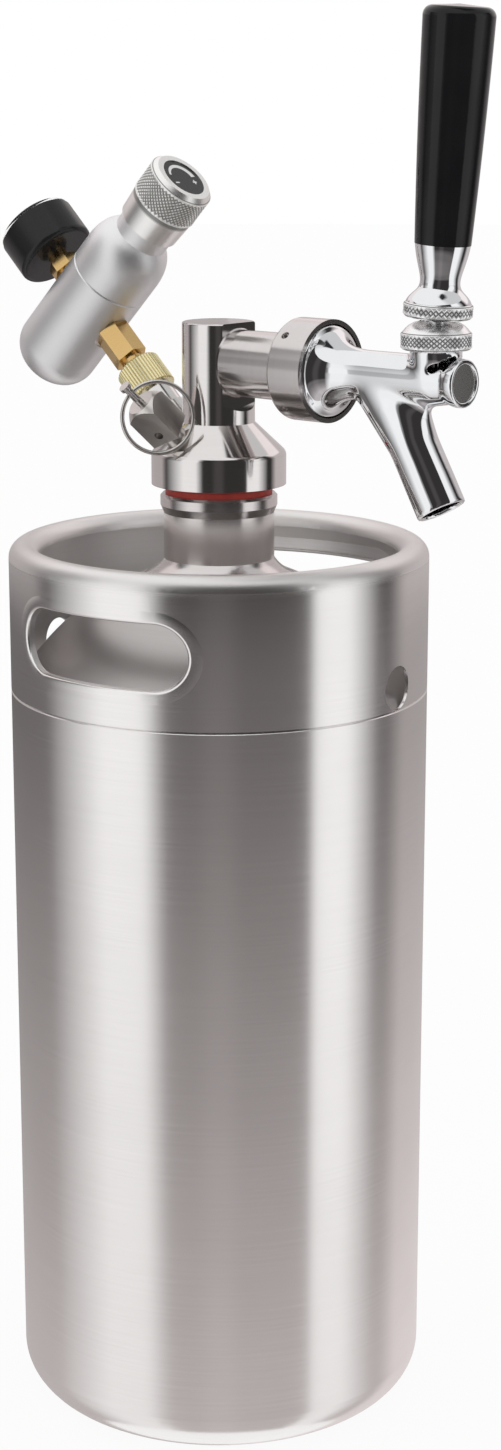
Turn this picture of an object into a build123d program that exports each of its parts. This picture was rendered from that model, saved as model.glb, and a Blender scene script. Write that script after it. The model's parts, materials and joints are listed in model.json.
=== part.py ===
"""Mini keg beer dispenser: steel keg, screw-on tapping head, lever tap and CO2 regulator.

Frame: millimetres, +Z up, origin at the centre of the keg's base, tap towards -Y.
"""
from build123d import *
from math import cos, radians, sin, sqrt
import os

os.makedirs("parts", exist_ok=True)

# ---------------------------------------------------------------- driving dimensions
# fits shared by many pieces
seat_gap = 0.05            # joint line left between two fixed pieces that are seated
slip_gap = 0.3             # gap round a piece that moves freely
run_gap = 0.05             # radial clearance of a shaft in its bearing

# keg
keg_radius = 82.5
keg_wall = 1.2
keg_base_round = 17.0
keg_base_groove_radius = 53.0
keg_base_groove_width = 6.0
keg_base_groove_depth = 1.0
seam_height = 296.0
seam_bevel = 0.5
chime_height = 58.4        # above the seam
keg_turn = 7.2             # the handle slots' turn about Z, in degrees
rim_radius = 6.0           # the rolled top rim's bend
slot_length = 80.0         # along the wall
slot_height = 29.3
slot_rise = 28.4           # the slots' centre above the seam
slot_lip = 1.6             # the slot's turned-in lip, across
slot_lip_depth = 3.2       # inwards from the wall's outside
slot_lip_round = 1.2
drain_hole_diameter = 17.0
drain_rise = 9.0           # the drain holes' centre above the seam
dome_edge_drop = 3.0       # the dome's skirt below the seam
dome_mid_radius = 60.0
dome_fullness = 0.578      # share of its rise reached at that radius

# keg neck
neck_radius = 21.7
neck_bore = 18.6
neck_base_height = 341.0
neck_flare_radius = 29.5
neck_flare_height = 6.5
neck_height = 32.0         # above its base
lip_radius = 22.9
lip_height = 4.5
lip_flare_height = 3.0
lip_bevel = 1.0

# tapping head
seal_radius = 20.9
seal_thickness = 2.4
cap_radius = 26.3
cap_underside_radius = 22.4
cap_underside_chamfer = 1.2
cap_band_height = 13.7
cap_cone_height = 13.9
cap_edge_round = 6.0
plug_length = 24.0
plug_bevel = 1.0
post_radius = 14.1
post_height = 36.2         # above the cap
post_edge_round = 1.4
notch_drop = 2.5           # how far it cuts into the cap's top
notch_height = 5.7
notch_distance = 10.0      # from the post's axis to the milled flat
notch_core_radius = 11.0
beer_bore = 4.2
tube_radius = 4.75
tube_wall = 0.8
tube_floor_gap = 8.0

# outlet pipe and shank collar, along the tap's axis
tap_rise = 21.0            # the tap's axis above the cap
pipe_radius = 12.75
pipe_end = 47.0
collar_start = 40.5
collar_length = 16.0
collar_radius = 19.25
collar_edge = 1.2
collar_floor = 5.5
spanner_hole_diameter = 3.2
spanner_hole_depth = 1.6
spanner_hole_inset = 5.0
spanner_hole_count = 4

# tap
flange_radius = 17.2
bell_lip_width = 2.0
bell_lip_height = 0.8
washer_thickness = 2.0
bell_end = 75.0            # where the bell has shrunk to the barrel
barrel_radius = 9.1
barrel_end = 118.6
nose_radius = 8.8
nose_waist_radius = 8.0
nose_length = 6.0
nose_cut = 0.6             # depth of the nose's groove into the throat's foot
tap_bore = 6.8
plug_recess = 0.8
plug_thickness = 4.0
lever_distance = 105.2     # from the keg's axis to the lever's pivot
pivot_rise = 17.0          # the lever's pivot above the tap's axis
lever_lean = 4.0           # degrees forward when closed
throat_radius = 9.6
throat_foot_radius = 8.6
throat_bore = 8.0
spout_start = 82.0         # where the spout's axis leaves the tap's axis
spout_angle = 30.0         # forward of straight down
spout_length = 54.2
spout_radius = 9.3
spout_bore = 7.5           # at its mouth
spout_mouth = 28.0         # length of that bore
spout_throat_bore = 6.6
spout_root_width = 8.8      # half-widths of its oval root, across and along the barrel
spout_root_length = 17.3
spout_root_distance = 80.6  # from the keg's axis to the root's middle
spout_root_drop = 1.0       # below the tap's axis
spout_blend = 4.0           # the casting's fillet where the spout leaves the barrel
throat_blend = 2.5          # and where the throat does
spout_straight = 28.0

# bonnet and lever
bonnet_rise = 11.4         # above the tap's axis
bonnet_radius = 12.9
bonnet_band = 6.5
bonnet_bevel = 0.8
bonnet_height = 10.2
bonnet_mouth = 6.2
bonnet_dome_radius = 10.0  # a point on the dome's curve
bonnet_dome_height = 3.1   # and its height above the lever's pivot
bonnet_neck_height = 0.5   # where the mouth narrows, above the pivot
ball_seat_bottom = -8.0    # from the pivot
ball_seat_top = -5.1
ball_seat_bore = 5.6
ball_radius = 7.2
lever_neck_radius = 3.6
finger_radius = 1.6
finger_tip_radius = 2.0
finger_length = 17.0
ring_start = 6.0           # the lever ring above the pivot, along the lever
ring_height = 5.2
ring_radius = 12.6
ring_bevel = 0.8
ring_hollow_radius = 12.45
ring_ceiling = 8.5
ferrule_waist = 15.4
ferrule_waist_radius = 8.4
ferrule_end = 31.8
ferrule_end_radius = 10.0
handle_length = 81.5
handle_foot_radius = 10.15
handle_top_radius = 12.9
handle_swell = 0.35        # how far the side bows out at mid-length
handle_top_round = 3.4
handle_crown = 1.0         # how far its end is domed
handle_stud_radius = 3.0

# valve shaft in the tap
shaft_radius = 3.0
piston_radius = 6.3
piston_length = 4.0
piston_start = 62.0
yoke_radius = 5.4
yoke_length = 12.0
yoke_slot = 4.7            # along the shaft
yoke_slot_width = 5.0
yoke_slot_mouth = 9.0      # the slot widens upwards for the leaning finger
yoke_slot_neck = 1.5       # where it starts to widen, above the shaft's axis

# ports on the cap's cone
port_radius = 20.2         # where a port's axis leaves the cone
port_rise = 7.5            # where it leaves the cone, above the cap's shoulder
port_elevation = 43.5
port_bore = 4.5
port_depth = 4.0           # below the cone, measured on its axis

# gas fittings, as distances along the gas port's axis
gas_post_radius = 7.0
gas_post_start = 2.5
gas_post_end = 23.0
gas_post_flange_radius = 8.4
gas_post_flange = 6.0
gas_seal_thickness = 1.6
gas_nut_start = 18.5
gas_nut_end = 32.0
gas_nut_radius = 9.3
gas_nut_floor = 3.0
gas_nut_bevel = 0.7
gas_neck_radius = 4.6
gas_hex_start = 36.2
gas_hex_flats = 12.4
fitting_bore = 2.0

# regulator, along its own axis from the gas port's axis
reg_distance = 66.6
reg_lean = 2.7             # its turn about the gas port's axis, from upright, in degrees
reg_radius = 16.7
reg_flat = 15.6            # from its axis to the flat the gas fitting seats on
reg_spot_radius = 8.2      # that flat
reg_foot = -38.0
reg_foot_round = 12.5
reg_seam = 15.0
reg_seam_bevel = 0.4
reg_bore = 9.5
reg_floor = 3.0
reg_shoulder = 24.0
reg_neck_start = 38.0
reg_neck_radius = 11.2
reg_neck_end = 43.6
reg_spigot_radius = 8.6
reg_spigot_end = 57.0
reg_spring_chamber = 5.0   # radius
reg_piston_start = 26.0
socket_depth = 5.0
cartridge_radius = 9.0
cartridge_length = 60.0
cartridge_round = 6.0
cartridge_neck_radius = 4.2
cartridge_neck_length = 9.0
pierce_pin_radius = 0.8
pierce_pin_length = 0.5
pierce_bore = 0.4
knob_start = 44.3
knob_skirt_radius = 12.4
knob_skirt_top_radius = 13.1
knob_flat_count = 8
knob_flat_distance = 12.5  # from the knob's axis to the flats round its skirt
knob_radius = 13.5
knob_band_start = 55.7
knob_band_end = 67.6
knob_band_edge = 0.5
knob_top = 69.6
knob_face_radius = 11.6
label_radius = 9.1
label_recess = 1.0
label_thickness = 0.6
spindle_radius = 2.5
spindle_foot_radius = 4.4
spindle_foot_length = 3.0
spindle_start = 31.5
spindle_grip = 4.0         # how far it reaches into the knob's band
piston_thickness = 1.5
reg_spring_wire_radius = 0.5
reg_spring_pitch = 1.6

# pressure gauge, along the gas port's axis beyond the regulator
gauge_back = 92.2
gauge_radius = 16.1
gauge_depth = 16.0
gauge_wall = 1.4
gauge_back_round = 2.0
gauge_stem_flats = 11.0
gauge_stem_radius = 4.0
gauge_stem_reach = 2.0     # inside the case
gauge_hex_gap = 1.0        # between its hexagon and the regulator
gauge_hex_shoulder = 3.0   # between its hexagon and the case
lens_thickness = 1.4
lens_seat = 1.0            # how far it reaches into the case
lens_radius = 15.6
dial_thickness = 0.6
dial_depth = 5.0           # the dial's face below the case's front
needle_radius = 0.8        # its hub pin
needle_length = 10.0
needle_tail = 4.0
needle_width = 1.0
needle_thickness = 0.4
needle_lift = 0.6          # above the dial
needle_pin_depth = 1.5     # behind the dial
needle_hub_radius = 1.8
needle_hub_height = 0.4
needle_tail_radius = 1.6

# pressure relief valve
relief_azimuth = 162.0     # about Z, from +X
relief_width = 12.4        # across the square body
relief_turn = 33.0         # the square's turn about its own axis
relief_start = 2.0          # the square body, along the valve's axis
relief_length = 17.5
relief_lid = 2.0           # the wall at its end
relief_face_radius = 5.6   # the end's flat face inside its turned bevel
relief_stem_radius = 4.4
vent_diameter = 3.4
vent_height = 4.4
pin_radius = 1.5
pin_end = 29.2
pin_head_radius = 2.3
pin_head_length = 1.6
pin_foot_radius = 3.4
pin_foot_length = 3.0
pin_foot_lift = 1.5        # above the floor of the valve
pin_travel = 3.0
spring_radius = 2.7        # to the middle of the wire
spring_wire_radius = 0.3
spring_pitch = 1.3
ring_hole = 25.0           # along the valve's axis
ring_hole_turn = 82.0      # the hole's turn about the valve's axis
ring_hole_clearance = 0.15
pull_ring_radius = 13.6    # to the middle of the wire
pull_wire_radius = 0.8
pull_ring_swing = 22.0      # from lying along the valve, out to where it rests on the cone

# ---------------------------------------------------------------- frames worked out
keg_height = seam_height + chime_height
slot_centre_height = seam_height + slot_rise
drain_hole_height = seam_height + drain_rise
dome_mid_height = seam_height + dome_fullness * (neck_base_height - seam_height)
neck_top = neck_base_height + neck_height
plug_radius = neck_bore - slip_gap
cap_bottom = neck_top + seal_thickness
cap_shoulder = cap_bottom + cap_band_height
cap_top = cap_shoulder + cap_cone_height
post_top = cap_top + post_height
notch_bottom = cap_top - notch_drop
port_height = cap_shoulder + port_rise
tap_height = cap_top + tap_rise
pivot_height = tap_height + pivot_rise
bonnet_bottom = tap_height + bonnet_rise
bonnet_top = bonnet_bottom + bonnet_height
ring_end = ring_start + ring_height
collar_end = collar_start + collar_length


def direction(azimuth, elevation):
    """Unit vector at an azimuth about Z and an elevation above the horizontal, in degrees."""
    flat = cos(radians(elevation))
    return Vector(flat * cos(radians(azimuth)), flat * sin(radians(azimuth)), sin(radians(elevation)))


def port_frame(azimuth):
    """Frame of a port on the cap's cone, its Z along the port's axis."""
    turn = radians(azimuth)
    root = (port_radius * cos(turn), port_radius * sin(turn), port_height)
    return Plane(origin=root, x_dir=(-sin(turn), cos(turn), 0), z_dir=direction(azimuth, port_elevation))


head = Plane.XY
tap = Plane(origin=(0, 0, tap_height), x_dir=(1, 0, 0), z_dir=(0, -1, 0))
lever = Plane(origin=(0, -lever_distance, pivot_height), x_dir=(1, 0, 0),
              z_dir=(0, -sin(radians(lever_lean)), cos(radians(lever_lean))))
# the tap's casting is made with its barrel's axis at height 0, and lifted to the tap's height
barrel = Plane(origin=(0, 0, 0), x_dir=(1, 0, 0), z_dir=(0, -1, 0))
throat = Plane.XY.move(Location((0, -lever_distance, pivot_rise)))
spout = Plane(origin=(0, -spout_start, 0), x_dir=(1, 0, 0),
              z_dir=(0, -sin(radians(spout_angle)), -cos(radians(spout_angle))))
gas = port_frame(90)
relief = port_frame(relief_azimuth)
reg_side = Vector(cos(radians(reg_lean)), 0, 0) - gas.y_dir * sin(radians(reg_lean))
regulator = Plane(origin=gas.offset(reg_distance).origin, x_dir=reg_side, z_dir=reg_side.cross(gas.z_dir))


def section_of(frame):
    """Plane through a frame's axis: its X is a radius and its Y runs along the axis."""
    return Plane(origin=frame.origin, x_dir=frame.x_dir, z_dir=frame.x_dir.cross(frame.z_dir))


def axis_of(frame):
    return Axis(frame.origin, frame.z_dir)


def spin(frame, outline, mode=Mode.ADD):
    """Turn a closed outline of (radius, distance) points about a frame's axis."""
    with BuildSketch(section_of(frame)) as section:
        with BuildLine():
            Polyline(*outline, close=True)
        make_face()
    revolve(section.sketch, axis=axis_of(frame), mode=mode)


def rod(frame, radius, start, end, mode=Mode.ADD):
    """Cylinder on a frame's axis, from one distance to another."""
    with BuildSketch(frame.offset(start)) as disc:
        Circle(radius)
    extrude(disc.sketch, amount=end - start, mode=mode)


def mill_notch():
    """Cut the post's relief under the pipe, down to a round core."""
    with BuildSketch(Plane.XY.offset(notch_bottom)) as notch:
        with Locations((0, -notch_distance - cap_radius / 2)):
            Rectangle(2 * cap_radius, cap_radius)
        Circle(notch_core_radius, mode=Mode.SUBTRACT)
    extrude(notch.sketch, amount=notch_height, mode=Mode.SUBTRACT)


def save(builder, name):
    builder.part.label = name
    export_step(builder.part, f"parts/{name}.step")


# ---------------------------------------------------------------- keg
inner_radius = keg_radius - keg_wall
dome_top_radius = neck_radius - keg_wall

with BuildPart() as keg_shell:
    with BuildSketch(Plane.XZ):
        with BuildLine():
            Line((0, 0), (keg_radius - keg_base_round, 0))
            RadiusArc((keg_radius - keg_base_round, 0), (keg_radius, keg_base_round), -keg_base_round)
            Line((keg_radius, keg_base_round), (keg_radius, seam_height - seam_bevel))
            Line((keg_radius, seam_height - seam_bevel), (keg_radius - seam_bevel, seam_height))
            Line((keg_radius - seam_bevel, seam_height), (inner_radius, seam_height))
            Line((inner_radius, seam_height), (inner_radius, keg_base_round))
            RadiusArc((inner_radius, keg_base_round), (keg_radius - keg_base_round, keg_wall),
                      keg_base_round - keg_wall)
            Line((keg_radius - keg_base_round, keg_wall), (0, keg_wall))
            Line((0, keg_wall), (0, 0))
        make_face()
    revolve(axis=Axis.Z)
    with BuildSketch(Plane.XY):
        Circle(keg_base_groove_radius + keg_base_groove_width / 2)
        Circle(keg_base_groove_radius - keg_base_groove_width / 2, mode=Mode.SUBTRACT)
    extrude(amount=keg_base_groove_depth, mode=Mode.SUBTRACT)
save(keg_shell, "keg_shell")

dome_outer_radius = inner_radius - seat_gap
with BuildPart() as keg_dome:
    with BuildSketch(Plane.XZ):
        with BuildLine():
            ThreePointArc((dome_outer_radius, seam_height), (dome_mid_radius, dome_mid_height),
                          (neck_flare_radius, neck_base_height))
            Line((neck_flare_radius, neck_base_height), (neck_radius, neck_base_height))
            Line((neck_radius, neck_base_height), (neck_radius, neck_base_height - keg_wall))
            Line((neck_radius, neck_base_height - keg_wall), (neck_flare_radius, neck_base_height - keg_wall))
            ThreePointArc((neck_flare_radius, neck_base_height - keg_wall),
                          (dome_mid_radius - keg_wall, dome_mid_height - keg_wall),
                          (dome_outer_radius - keg_wall, seam_height))
            Line((dome_outer_radius - keg_wall, seam_height),
                 (dome_outer_radius - keg_wall, seam_height - dome_edge_drop))
            Line((dome_outer_radius - keg_wall, seam_height - dome_edge_drop),
                 (dome_outer_radius, seam_height - dome_edge_drop))
            Line((dome_outer_radius, seam_height - dome_edge_drop), (dome_outer_radius, seam_height))
        make_face()
    revolve(axis=Axis.Z)
save(keg_dome, "keg_dome")

with BuildPart() as keg_neck:
    with BuildSketch(Plane.XZ):
        with BuildLine():
            Line((neck_bore, neck_base_height - keg_wall), (neck_radius - seat_gap, neck_base_height - keg_wall))
            Line((neck_radius - seat_gap, neck_base_height - keg_wall),
                 (neck_radius - seat_gap, neck_base_height + seat_gap))
            Line((neck_radius - seat_gap, neck_base_height + seat_gap),
                 (neck_flare_radius, neck_base_height + seat_gap))
            TangentArc((neck_flare_radius, neck_base_height + seat_gap),
                       (neck_radius, neck_base_height + neck_flare_height), tangent=(-1, 0.35))
            Line((neck_radius, neck_base_height + neck_flare_height),
                 (neck_radius, neck_top - lip_height - lip_flare_height))
            Line((neck_radius, neck_top - lip_height - lip_flare_height), (lip_radius, neck_top - lip_height))
            Line((lip_radius, neck_top - lip_height), (lip_radius, neck_top - lip_bevel))
            Line((lip_radius, neck_top - lip_bevel), (lip_radius - lip_bevel, neck_top))
            Line((lip_radius - lip_bevel, neck_top), (neck_bore, neck_top))
            Line((neck_bore, neck_top), (neck_bore, neck_base_height - keg_wall))
        make_face()
    revolve(axis=Axis.Z)
save(keg_neck, "keg_neck")

chime_bottom = seam_height + seat_gap
keg_rotation = Plane.XY.rotated((0, 0, keg_turn))
slot_plane = Plane(origin=(0, 0, slot_centre_height), x_dir=(-sin(radians(keg_turn)), cos(radians(keg_turn)), 0),
                   z_dir=direction(keg_turn, 0))
drain_plane = Plane(origin=(0, 0, drain_hole_height), x_dir=direction(keg_turn, 0),
                    z_dir=direction(keg_turn - 90, 0))
slot_chord = 2 * keg_radius * sin(slot_length / keg_radius / 2)

with BuildPart() as slot_lips:
    with BuildSketch(slot_plane):
        SlotOverall(slot_chord + 2 * slot_lip, slot_height + 2 * slot_lip)
    extrude(amount=2 * keg_radius, both=True)
    with BuildSketch(Plane.XY.offset(seam_height)) as band:
        Circle(keg_radius)
        Circle(keg_radius - slot_lip_depth, mode=Mode.SUBTRACT)
    extrude(band.sketch, amount=keg_height - seam_height, mode=Mode.INTERSECT)
    with BuildSketch(slot_plane):
        SlotOverall(slot_chord, slot_height)
    extrude(amount=2 * keg_radius, both=True, mode=Mode.SUBTRACT)

with BuildPart() as top_chime:
    with BuildSketch(Plane.XZ):
        with BuildLine():
            Line((keg_radius - seam_bevel, chime_bottom), (keg_radius, chime_bottom + seam_bevel))
            Line((keg_radius, chime_bottom + seam_bevel), (keg_radius, keg_height - rim_radius))
            RadiusArc((keg_radius, keg_height - rim_radius), (keg_radius - rim_radius, keg_height), -rim_radius)
            RadiusArc((keg_radius - rim_radius, keg_height),
                      (keg_radius - 2 * rim_radius, keg_height - rim_radius), -rim_radius)
            Line((keg_radius - 2 * rim_radius, keg_height - rim_radius),
                 (keg_radius - 2 * rim_radius + keg_wall, keg_height - rim_radius))
            RadiusArc((keg_radius - 2 * rim_radius + keg_wall, keg_height - rim_radius),
                      (keg_radius - rim_radius, keg_height - keg_wall), rim_radius - keg_wall)
            RadiusArc((keg_radius - rim_radius, keg_height - keg_wall),
                      (inner_radius, keg_height - rim_radius), rim_radius - keg_wall)
            Line((inner_radius, keg_height - rim_radius), (inner_radius, chime_bottom))
            Line((inner_radius, chime_bottom), (keg_radius - seam_bevel, chime_bottom))
        make_face()
    revolve(axis=Axis.Z)
    with BuildSketch(slot_plane):
        SlotOverall(slot_chord + 2 * slot_lip, slot_height + 2 * slot_lip)
    extrude(amount=2 * keg_radius, both=True, mode=Mode.SUBTRACT)
    with BuildSketch(drain_plane):
        Circle(drain_hole_diameter / 2)
    extrude(amount=2 * keg_radius, both=True, mode=Mode.SUBTRACT)
    add(slot_lips.part)
save(top_chime, "top_chime")

# ---------------------------------------------------------------- tapping head
with BuildPart() as neck_seal:
    rod(head, seal_radius, neck_top, neck_top + seal_thickness)
    rod(head, neck_bore, neck_top, neck_top + seal_thickness, Mode.SUBTRACT)
save(neck_seal, "neck_seal")

with BuildPart() as cap_body:
    spin(head, [(0, cap_bottom - plug_length), (plug_radius - plug_bevel, cap_bottom - plug_length),
                (plug_radius, cap_bottom - plug_length + plug_bevel), (plug_radius, cap_bottom),
                (cap_underside_radius, cap_bottom), (cap_radius, cap_bottom + cap_underside_chamfer),
                (cap_radius, cap_shoulder), (post_radius, cap_top), (0, cap_top)])
    fillet(cap_body.edges().filter_by(GeomType.CIRCLE).group_by(Axis.Z)[-2], cap_edge_round)
    rod(head, tube_radius, cap_bottom - plug_length, cap_bottom, Mode.SUBTRACT)
    rod(head, beer_bore, cap_bottom, cap_top, Mode.SUBTRACT)
    mill_notch()
    for frame in (gas, relief):
        rod(frame, port_bore, -port_depth, port_depth, Mode.SUBTRACT)
save(cap_body, "cap_body")

post_bottom = cap_top + seat_gap
with BuildPart() as head_post:
    rod(head, post_radius, post_bottom, post_top)
    fillet(head_post.edges().filter_by(GeomType.CIRCLE).group_by(Axis.Z)[-1], post_edge_round)
    mill_notch()
    rod(head, beer_bore, post_bottom, tap_height, Mode.SUBTRACT)
    rod(tap, beer_bore, 0, post_radius, Mode.SUBTRACT)
save(head_post, "head_post")

with BuildPart() as outlet_pipe:
    rod(tap, pipe_radius, 0, pipe_end)
    rod(tap, beer_bore, 0, pipe_end, Mode.SUBTRACT)
    rod(head, post_radius + seat_gap, tap_height - 2 * pipe_radius, tap_height + 2 * pipe_radius, Mode.SUBTRACT)
save(outlet_pipe, "outlet_pipe")

with BuildPart() as dip_tube:
    rod(head, tube_radius - seat_gap, tube_floor_gap, cap_bottom - seat_gap)
    rod(head, tube_radius - tube_wall, tube_floor_gap, cap_bottom - seat_gap, Mode.SUBTRACT)
save(dip_tube, "dip_tube")

washer_start = pipe_end + seat_gap
flange_start = washer_start + washer_thickness + seat_gap
with BuildPart() as shank_collar:
    rod(tap, collar_radius, collar_start, collar_end)
    fillet(shank_collar.edges().filter_by(GeomType.CIRCLE).group_by(axis_of(tap))[0], collar_edge)
    rod(tap, pipe_radius + slip_gap, collar_start, collar_start + collar_floor, Mode.SUBTRACT)
    rod(tap, flange_radius + slip_gap, collar_start + collar_floor, collar_end, Mode.SUBTRACT)
    for k in range(spanner_hole_count):
        spoke = radians(45 + 360 / spanner_hole_count * k)
        outward = tap.x_dir * cos(spoke) + tap.y_dir * sin(spoke)
        root = tap.offset(collar_start + spanner_hole_inset).origin
        spanner = Plane(origin=root, z_dir=outward)
        rod(spanner, spanner_hole_diameter / 2, collar_radius - spanner_hole_depth, collar_radius + collar_edge,
            Mode.SUBTRACT)
save(shank_collar, "shank_collar")

with BuildPart() as tap_washer:
    rod(tap, pipe_radius, washer_start, washer_start + washer_thickness)
    rod(tap, beer_bore, washer_start, washer_start + washer_thickness, Mode.SUBTRACT)
save(tap_washer, "tap_washer")

# ---------------------------------------------------------------- tap
bell_edge = flange_radius - bell_lip_width
plug_start = barrel_end - plug_recess - plug_thickness
pivot = Plane.XY.move(Location((0, -lever_distance, pivot_height)))
bonnet_low = bonnet_bottom - pivot_height
with BuildPart() as tap_body:
    with BuildSketch(section_of(barrel)):
        with BuildLine():
            Line((0, flange_start), (flange_radius, flange_start))
            Line((flange_radius, flange_start), (flange_radius, collar_end))
            Line((flange_radius, collar_end), (bell_edge, collar_end + bell_lip_height))
            Spline((bell_edge, collar_end + bell_lip_height), (barrel_radius, bell_end),
                   tangents=((-0.8, 0.6), (0, 1)))
            Line((barrel_radius, bell_end), (barrel_radius, barrel_end))
            Line((barrel_radius, barrel_end), (0, barrel_end))
            Line((0, barrel_end), (0, flange_start))
        make_face()
    revolve(axis=axis_of(barrel))
    with BuildSketch(Plane.XY.offset(-spout_root_drop)):
        with Locations((0, -spout_root_distance)):
            Ellipse(spout_root_width, spout_root_length)
    with BuildSketch(spout.offset(spout_straight)):
        Circle(spout_radius)
    loft()
    fillet(tap_body.edges(Select.NEW), spout_blend)
    spin(throat, [(0, -pivot_rise), (throat_foot_radius, -pivot_rise), (throat_radius, bonnet_low - seat_gap),
                 (0, bonnet_low - seat_gap)])
    fillet(tap_body.edges(Select.NEW), throat_blend)
    spin(barrel, [(barrel_radius, barrel_end - 2 * nose_length), (nose_waist_radius, barrel_end - nose_length),
                  (nose_radius, barrel_end - nose_length / 2), (nose_radius, barrel_end),
                  (barrel_radius + nose_cut, barrel_end),
                  (barrel_radius + nose_cut, barrel_end - 2 * nose_length)], Mode.SUBTRACT)
    rod(spout, spout_radius, spout_straight, spout_length)
    rod(spout, spout_throat_bore, 0, spout_length, Mode.SUBTRACT)
    rod(spout, spout_bore, spout_length - spout_mouth, spout_length, Mode.SUBTRACT)
    rod(barrel, tap_bore, flange_start, barrel_end, Mode.SUBTRACT)
    rod(throat, throat_bore, -pivot_rise, bonnet_low, Mode.SUBTRACT)
tap_body.part.position += (0, 0, tap_height)
save(tap_body, "tap_body")

with BuildPart() as front_plug:
    rod(tap, tap_bore - seat_gap, plug_start, plug_start + plug_thickness)
save(front_plug, "front_plug")

bonnet_high = bonnet_top - pivot_height
band_top = bonnet_low + bonnet_band
with BuildPart() as tap_bonnet:
    with BuildSketch(section_of(pivot)):
        with BuildLine():
            Line((throat_bore, bonnet_low), (bonnet_radius - bonnet_bevel, bonnet_low))
            Line((bonnet_radius - bonnet_bevel, bonnet_low), (bonnet_radius, bonnet_low + bonnet_bevel))
            Line((bonnet_radius, bonnet_low + bonnet_bevel), (bonnet_radius, band_top - bonnet_bevel))
            Line((bonnet_radius, band_top - bonnet_bevel), (bonnet_radius - bonnet_bevel, band_top))
            ThreePointArc((bonnet_radius - bonnet_bevel, band_top), (bonnet_dome_radius, bonnet_dome_height),
                          (bonnet_mouth, bonnet_high))
            Line((bonnet_mouth, bonnet_high), (throat_bore, bonnet_neck_height))
            Line((throat_bore, bonnet_neck_height), (throat_bore, bonnet_low))
        make_face()
    revolve(axis=axis_of(pivot))
save(tap_bonnet, "tap_bonnet")

with BuildPart() as ball_seat:
    rod(pivot, throat_bore - seat_gap, ball_seat_bottom, ball_seat_top)
    rod(pivot, ball_seat_bore, ball_seat_bottom, ball_seat_top, Mode.SUBTRACT)
save(ball_seat, "ball_seat")

with BuildPart() as lever_stem:
    with Locations(lever.location):
        Sphere(ball_radius)
    rod(lever, lever_neck_radius, 0, ring_end)
    rod(lever, finger_radius, -finger_length, 0)
    with Locations(lever.offset(-finger_length).location):
        Sphere(finger_tip_radius)
save(lever_stem, "lever_stem")

with BuildPart() as lever_ring:
    spin(lever, [(lever_neck_radius + seat_gap, ring_start), (ring_radius - ring_bevel, ring_start),
                 (ring_radius, ring_start + ring_bevel), (ring_radius, ring_end - ring_bevel),
                 (ring_radius - ring_bevel, ring_end), (lever_neck_radius + seat_gap, ring_end)])
    with BuildSketch(section_of(lever)):
        with BuildLine():
            hollow_top = sqrt(ring_hollow_radius ** 2 - ring_ceiling ** 2)
            Line((0, 0), (ring_hollow_radius, 0))
            RadiusArc((ring_hollow_radius, 0), (hollow_top, ring_ceiling), -ring_hollow_radius)
            Line((hollow_top, ring_ceiling), (0, ring_ceiling))
            Line((0, ring_ceiling), (0, 0))
        make_face()
    revolve(axis=axis_of(lever), mode=Mode.SUBTRACT)
save(lever_ring, "lever_ring")

ferrule_start = ring_end + seat_gap
handle_start = ferrule_end + seat_gap
stud_end = handle_start + handle_length / 3
with BuildPart() as handle_ferrule:
    with BuildSketch(section_of(lever)):
        with BuildLine():
            Line((0, ferrule_start), (ring_radius - ring_bevel, ferrule_start))
            Spline((ring_radius - ring_bevel, ferrule_start), (ferrule_waist_radius, ferrule_waist),
                   (ferrule_end_radius, ferrule_end), tangents=((-0.35, 0.9), (0.12, 1)))
            Line((ferrule_end_radius, ferrule_end), (handle_stud_radius, ferrule_end))
            Line((handle_stud_radius, ferrule_end), (handle_stud_radius, stud_end))
            Line((handle_stud_radius, stud_end), (0, stud_end))
            Line((0, stud_end), (0, ferrule_start))
        make_face()
    revolve(axis=axis_of(lever))
save(handle_ferrule, "handle_ferrule")

handle_end = handle_start + handle_length
handle_mid = (handle_start + handle_end) / 2
handle_mid_radius = (handle_foot_radius + handle_top_radius) / 2 + handle_swell
with BuildPart() as tap_handle:
    with BuildSketch(section_of(lever)):
        with BuildLine():
            Line((0, handle_start), (handle_foot_radius, handle_start))
            ThreePointArc((handle_foot_radius, handle_start), (handle_mid_radius, handle_mid),
                          (handle_top_radius, handle_end))
            Line((handle_top_radius, handle_end), (0, handle_end + handle_crown))
            Line((0, handle_end + handle_crown), (0, handle_start))
        make_face()
    revolve(axis=axis_of(lever))
    fillet(tap_handle.edges().filter_by(GeomType.CIRCLE).group_by(Axis.Z)[-1], handle_top_round)
    rod(lever, handle_stud_radius + seat_gap, handle_start, stud_end + seat_gap, Mode.SUBTRACT)
save(tap_handle, "tap_handle")

yoke_centre = lever_distance - finger_length * sin(radians(lever_lean))
yoke_start = yoke_centre - yoke_length / 2
with BuildPart() as valve_shaft:
    rod(tap, piston_radius, piston_start, piston_start + piston_length)
    rod(tap, shaft_radius, piston_start + piston_length, yoke_start)
    rod(tap, yoke_radius, yoke_start, yoke_start + yoke_length)
    with BuildSketch(Plane(origin=(0, -yoke_centre, tap_height), x_dir=(0, 1, 0), z_dir=(1, 0, 0))):
        with BuildLine():
            Polyline((-yoke_slot / 2, -yoke_radius), (yoke_slot / 2, -yoke_radius), (yoke_slot / 2, yoke_slot_neck),
                     (yoke_slot_mouth / 2, yoke_radius), (-yoke_slot_mouth / 2, yoke_radius),
                     (-yoke_slot / 2, yoke_slot_neck), close=True)
        make_face()
    extrude(amount=yoke_slot_width / 2, both=True, mode=Mode.SUBTRACT)
save(valve_shaft, "valve_shaft")

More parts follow.
